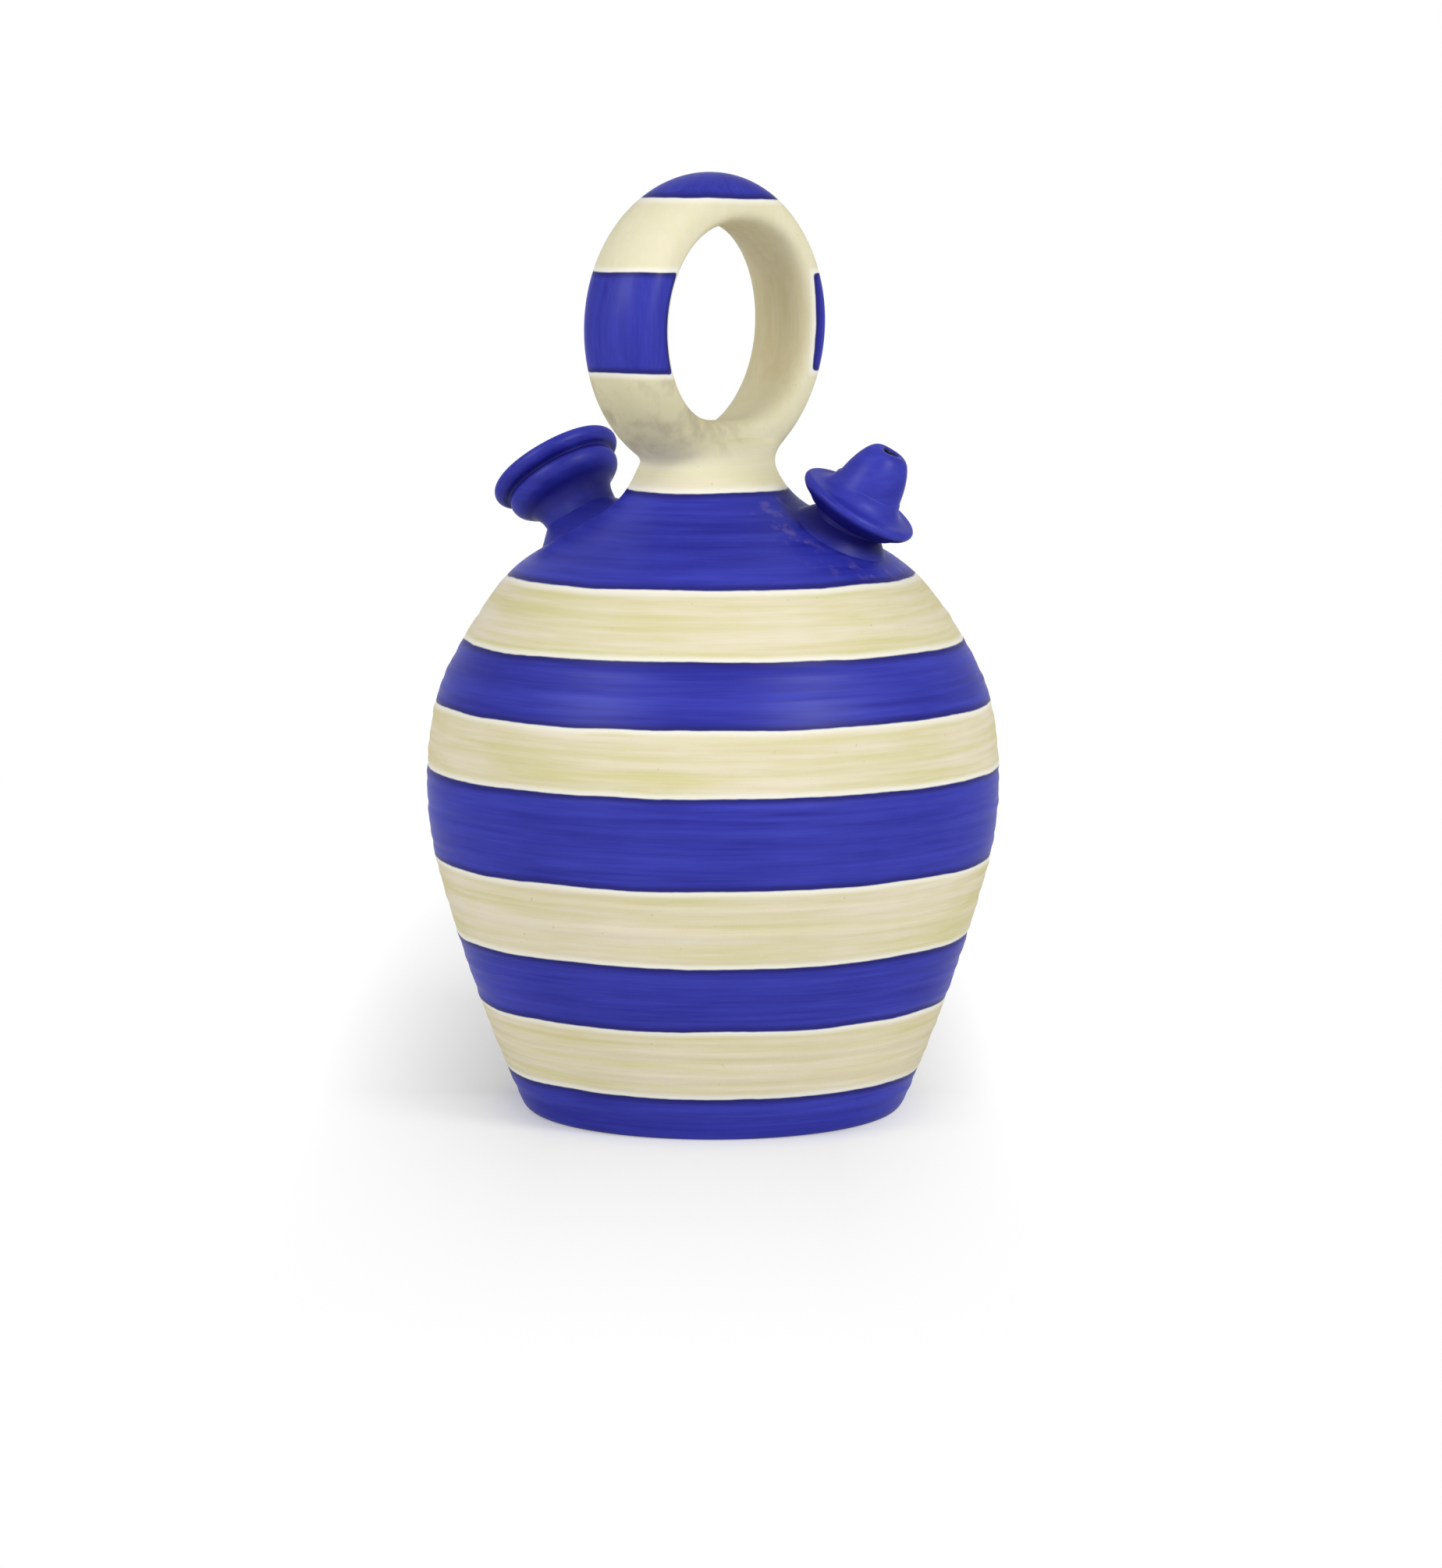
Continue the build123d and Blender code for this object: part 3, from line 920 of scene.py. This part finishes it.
def stemField(points):
    size = stemSize
    height = points[..., 2]
    offset = points + (size["offset"], 0.0, 0.0)
    share = np.clip((height - size["ovalFrom"]) / (size["waistHeight"] - size["ovalFrom"]), 0, 1)
    oval = size["oval"] * share**2 * (3 - 2 * share)
    across = np.cross(ringAlong, upward)
    radius = np.hypot(offset @ ringAlong / (1 + oval), offset @ across / (1 - oval))
    rise = (height - size["footHeight"]) / (size["waistHeight"] - size["footHeight"])
    sag = 4 * size["flare"] * rise * (1 - np.clip(rise, 0, 1))
    flank = size["footRadius"] + (size["waistRadius"] - size["footRadius"]) * rise - sag
    over = (height - size["waistHeight"]) / (size["capHeight"] - size["waistHeight"])
    drop = size["waistRadius"] - size["capRadius"]
    cap = size["waistRadius"] - drop * (1 - np.sqrt(1 - np.clip(over, 0, 1) ** 2))
    profile = np.where(over > 0, cap, flank)
    return np.maximum((radius - profile) * size["slope"], height - size["capHeight"])


def ringReach(points):
    # the blend is wider on the spout's side, and runs out at the inside of the strap
    size = stemSize
    low, high = size["ringBlend"]
    share = np.clip(0.5 + (points - ringMiddle) @ ringAlong / size["blendSpan"], 0, 1)
    ends, over = size["blendEnd"]
    return (low + (high - low) * share) * np.clip((ends - points[..., 2]) / over, size["leastBlend"], 1)


def stemAndShoulder(points):
    return softUnion(stemField(points), domeField(points), stemSize["footBlend"])


def buildStem():
    size = stemSize
    place = dict(upright, origin=np.array((-size["offset"], 0.0, 0.0)))
    startRadius = size["footRadius"] + size["startOut"]
    section = traceSkirt(
        place,
        (startRadius, np.interp(startRadius, domeRadii, domeHeights)),
        size["heading"],
        lambda points: softUnion(stemAndShoulder(points), ringField(points), ringReach(points)),
        lambda points: stemField(points) - size["footBlend"],
        lambda points: stemAndShoulder(points) - ringReach(points),
        size["columns"],
        size["rows"],
    )
    toe = section[:1] - (0.0, size["toeDrop"])
    rows = spin(np.vstack((toe, section)), place, size["columns"])
    # the last row dips into the ring, and both ends close inside the clay
    strap = ringMiddle - ringUp * ringSize["edgeRadius"]
    dip = rows[-1:] + (strap - rows[-1:]) * size["dip"]
    root = (-size["offset"], 0.0, size["footHeight"] - size["rootDepth"])
    low = np.repeat([[root]], size["columns"], axis=1)
    high = np.repeat([[strap]], size["columns"], axis=1)
    rows = np.vstack((low, rows, dip, high))
    newPiece("flared_stem", rows, (stemClay,), "stem")


# Mouth and spout: turned round their own axes, with luting coils that follow the shoulder

mouthSize = dict(
    outline=[
        (13.2, -7.5), (13.0, 2.0), (13.1, 7.0), (13.7, 11.4), (15.3, 14.3), (17.6, 16.0), (19.5, 17.7),
        (20.4, 19.5), (20.6, 21.2), (20.2, 22.6), (19.7, 23.3), (20.4, 24.0), (22.2, 24.5), (23.5, 25.8),
        (23.8, 27.4), (23.2, 28.8), (21.8, 29.5), (20.0, 29.0), (17.8, 26.0), (14.4, 18.0), (11.3, 10.0),
        (10.6, 6.0), (10.6, -7.5),
    ],
    barePoints=3,  # the last points of the outline, down the throat, are bare clay
    lean=(0.5, -0.9),  # how much higher the lip stands towards the ring, and towards the back
    waver=(0.18, 0.9),  # how far the edge strays, and where round it that starts
    neckRadius=13.0,
    coilStart=11.0,  # how far up the neck the coil's skin is traced from, and how wide it blends
    coilReach=8.5,
    pierced=12.0,
    columns=160,
)
spoutSize = dict(
    outline=[
        (12.4, -7.5), (12.2, 2.0), (12.4, 6.0), (12.6, 9.5), (12.4, 12.0), (12.4, 15.0), (11.9, 18.0),
        (11.3, 21.0), (10.5, 24.5), (9.1, 28.5), (7.3, 31.8), (5.4, 33.4), (3.5, 33.7), (2.4, 33.0),
        (2.2, 31.4), (2.2, 26.0), (4.0, 21.5), (4.0, -7.5),
    ],
    flange=[
        (11.8, 7.4), (14.4, 6.4), (17.0, 8.2), (19.4, 9.8), (20.6, 11.3), (20.8, 12.7), (20.0, 13.8),
        (18.6, 14.1), (16.8, 14.2), (15.0, 14.7), (13.5, 15.9), (12.5, 17.5), (11.85, 19.3), (11.0, 18.8),
        (11.2, 12.0),
    ],
    barePoints=3,
    waver=(0.12, 2.2),
    flangeWaver=(0.22, 4.1),
    neckRadius=12.2,
    coilStart=9.0,
    coilReach=6.5,
    pierced=9.0,
    columns=160,
)
edgeWave = dict(
    second=0.6,  # share of the faster one of its two waves
    lag=5,  # the edge strays outwards too, later by one turn divided by this
)
luteSize = dict(
    rows=28,
    tuck=(-1.2, 0.0),  # the two ends of a coil's skin go into the neck and under the shoulder
    toe=(-0.3, -1.2),
)


def wavered(section, columns, waver, lean=(0.0, 0.0)):
    # a thrown edge is never quite level, so each turn of the section rises and falls a little
    amount, phase = waver
    angle = np.linspace(0, 2 * math.pi, columns, endpoint=False)
    faster = edgeWave["second"] * np.sin(3 * angle + 2 * phase)
    wave = amount * (np.sin(2 * angle + phase) + faster)
    reach = np.clip(section[:, 1] / section[:, 1].max(), 0, 1)
    turned = np.repeat(section[:, None], columns, axis=1)
    tilt = lean[0] * (np.cos(angle) - 1) + lean[1] * np.sin(angle)
    turned[..., 1] += reach[:, None] * (wave + tilt)
    turned[..., 0] += reach[:, None] * np.roll(wave, columns // edgeWave["lag"])
    return turned


def luteCoil(name, node, place, size):
    neck = size["neckRadius"]

    def neckField(points):
        offset = points - place["origin"]
        along = offset @ place["z"]
        return np.sqrt(np.maximum((offset**2).sum(-1) - along**2, 0)) - neck

    section = traceSkirt(
        place,
        (neck, size["coilStart"]),
        (0, -1),
        lambda points: softUnion(neckField(points), domeField(points), size["coilReach"]),
        lambda points: domeField(points) - size["coilReach"],
        lambda points: neckField(points) - size["coilReach"],
        size["columns"],
        luteSize["rows"],
    )
    top = section[:1] + luteSize["tuck"]
    toe = section[-1:] + luteSize["toe"]
    rows = spin(np.vstack((top, section, toe)), place, size["columns"])
    newPiece(name, rows, (jointClay,), node, loop=True)


def buildMouth():
    size = mouthSize
    section = wavered(smoothLine(size["outline"]), size["columns"], size["waver"], size["lean"])
    throat = (len(size["outline"]) - size["barePoints"]) * smoothParts
    newPiece(
        "filling_mouth", spin(section, mouthPlace, size["columns"]), (blueClay, rawClay),
        "mouth_collar", loop=True, inner=lambda row: row >= throat,
    )
    luteCoil("mouth_lute", "mouth_coil", mouthPlace, size)


def buildSpout():
    size = spoutSize
    section = wavered(smoothLine(size["outline"]), size["columns"], size["waver"])
    bore = (len(size["outline"]) - size["barePoints"]) * smoothParts
    newPiece(
        "drinking_spout", spin(section, spoutPlace, size["columns"]), (blueClay, rawClay),
        "spout_tube", loop=True, inner=lambda row: row >= bore,
    )
    flange = smoothLine(size["flange"] + size["flange"][:1])
    section = wavered(flange, size["columns"], size["flangeWaver"])
    newPiece(
        "drip_brim", spin(section[:-1], spoutPlace, size["columns"]), (blueClay,),
        "drip_flange", loop=True,
    )
    luteCoil("spout_lute", "spout_coil", spoutPlace, size)


buildFloor()
buildBelly()
buildShoulder()
buildRing()
buildStem()
buildMouth()
buildSpout()
# the two coils inside stay as the frame gives them, in bare clay
for name in ("floor_coil", "girth_coil"):
    for slot in frame["nodes"][name].material_slots:
        slot.material = rawClay
print("pieces made")


# Stage: a white floor that fades into a white background, soft light and the camera

stageSize = dict(
    cameraTurn=23.0,  # turns and rises in degrees, heights and distances in metres
    cameraRise=7.45,
    cameraDistance=1.728,
    aimHeight=0.1127,
    aimShift=0.00319,
    lens=114.6,
    sensor=36.0,
    floorRadius=6.0,
    floorSegments=96,
    floorColour=(0.9, 0.9, 0.9, 1.0),
    white=(1.0, 1.0, 1.0, 1.0),
    floorFade=(0.12, 0.29),  # stretched distances over which the floor turns white
    floorSides=(2.1, 2.9),  # their stretch to the left, and to the right, where it whitens sooner
    floorBack=(0.42, 0.1),  # their stretch to the back, and how fast the shade widens there
    floorFront=(-0.02, 0.36),  # distances over which it whitens to the front, fast at first
    floorEase=0.6,
    world=0.45,  # light from all round
    lamps=[
        # name, turn from the camera, rise, distance, size, power
        ("key", 44.0, 30.0, 1.9, 0.6, 14.9),
        ("fill", -51.0, 30.0, 1.9, 0.8, 11.4),
    ],
)


def aimed(turn, rise, distance, target):
    # a place on a sphere round the target, turned from the front and raised, in degrees
    turn, rise = math.radians(turn), math.radians(rise)
    level = math.cos(rise)
    direction = np.array((math.sin(turn) * level, -math.cos(turn) * level, math.sin(rise)))
    return np.asarray(target) + distance * direction


def pointAt(thing, place, target):
    thing.location = Vector(place)
    thing.rotation_euler = (Vector(target) - Vector(place)).to_track_quat("-Z", "Y").to_euler()
    bpy.context.scene.collection.objects.link(thing)


def buildStage():
    size = stageSize
    turn = math.radians(size["cameraTurn"])
    aim = (size["aimShift"] * math.cos(turn), size["aimShift"] * math.sin(turn), size["aimHeight"])
    lens = bpy.data.cameras.new("camera")
    lens.sensor_fit = "VERTICAL"
    lens.sensor_height = size["sensor"]
    lens.lens = size["lens"]
    camera = bpy.data.objects.new("camera", lens)
    pointAt(camera, aimed(size["cameraTurn"], size["cameraRise"], size["cameraDistance"], aim), aim)
    bpy.context.scene.camera = camera
    for name, lampTurn, rise, distance, width, power in size["lamps"]:
        lamp = bpy.data.lights.new(name, "AREA")
        lamp.shape = "DISK"
        lamp.size = width
        lamp.energy = power
        place = aimed(size["cameraTurn"] + lampTurn, rise, distance, aim)
        pointAt(bpy.data.objects.new(name, lamp), place, aim)


def showsWhite(flow):
    # rays that see the background: those of the camera, and those that mirrors and glass send on
    camera, glossy, through = [
        flow.node("LightPath", output=kind)
        for kind in ("Is Camera Ray", "Is Glossy Ray", "Is Transmission Ray")
    ]
    return camera.most(glossy).most(through)


def buildFloorStage():
    size = stageSize
    work = bmesh.new()
    segments = size["floorSegments"]
    bmesh.ops.create_circle(work, cap_ends=True, segments=segments, radius=size["floorRadius"])
    mesh = bpy.data.meshes.new("studio_floor")
    work.to_mesh(mesh)
    work.free()
    floor = bpy.data.objects.new("studio_floor", mesh)
    bpy.context.scene.collection.objects.link(floor)
    material = bpy.data.materials.new("studio_floor")
    material.use_nodes = True
    material.node_tree.nodes.clear()
    flow = Flow(material.node_tree)
    position = flow.node("TexCoord", output="Object")
    turn = math.radians(size["cameraTurn"])
    across = position.dot((math.cos(turn), math.sin(turn), 0.0))
    depth = position.dot((-math.sin(turn), math.cos(turn), 0.0))
    left, right = size["floorSides"]
    back, spread = size["floorBack"]
    behind = depth.most(0.0)
    sideways = ((across * -left).most(across * right) - behind * spread).most(0.0)
    away = flow.math("SQRT", sideways * sideways + behind * behind * back**2)
    front = flow.math("POWER", (0 - depth).ramp(*size["floorFront"]), size["floorEase"])
    fade = 1 - (1 - away.ramp(*size["floorFade"])) * (1 - front)
    paper = flow.node("BsdfDiffuse", {}, {"Color": size["floorColour"]})
    white = flow.node("Emission", {}, {"Color": size["white"], "Strength": 1.0})
    surface = flow.node("MixShader", {}, {0: fade * showsWhite(flow), 1: paper, 2: white})
    flow.node("OutputMaterial", {}, {"Surface": surface})
    mesh.materials.append(material)


def buildWorld():
    world = bpy.data.worlds.new("studio")
    bpy.context.scene.world = world
    world.use_nodes = True
    world.node_tree.nodes.clear()
    flow = Flow(world.node_tree)
    strength = stageSize["world"] + showsWhite(flow) * (1 - stageSize["world"])
    backdrop = flow.node("Background", {}, {"Color": stageSize["white"], "Strength": strength})
    flow.node("OutputWorld", {}, {"Surface": backdrop})


buildStage()
buildFloorStage()
buildWorld()
bpy.context.scene.view_settings.view_transform = "Standard"
print("stage made")
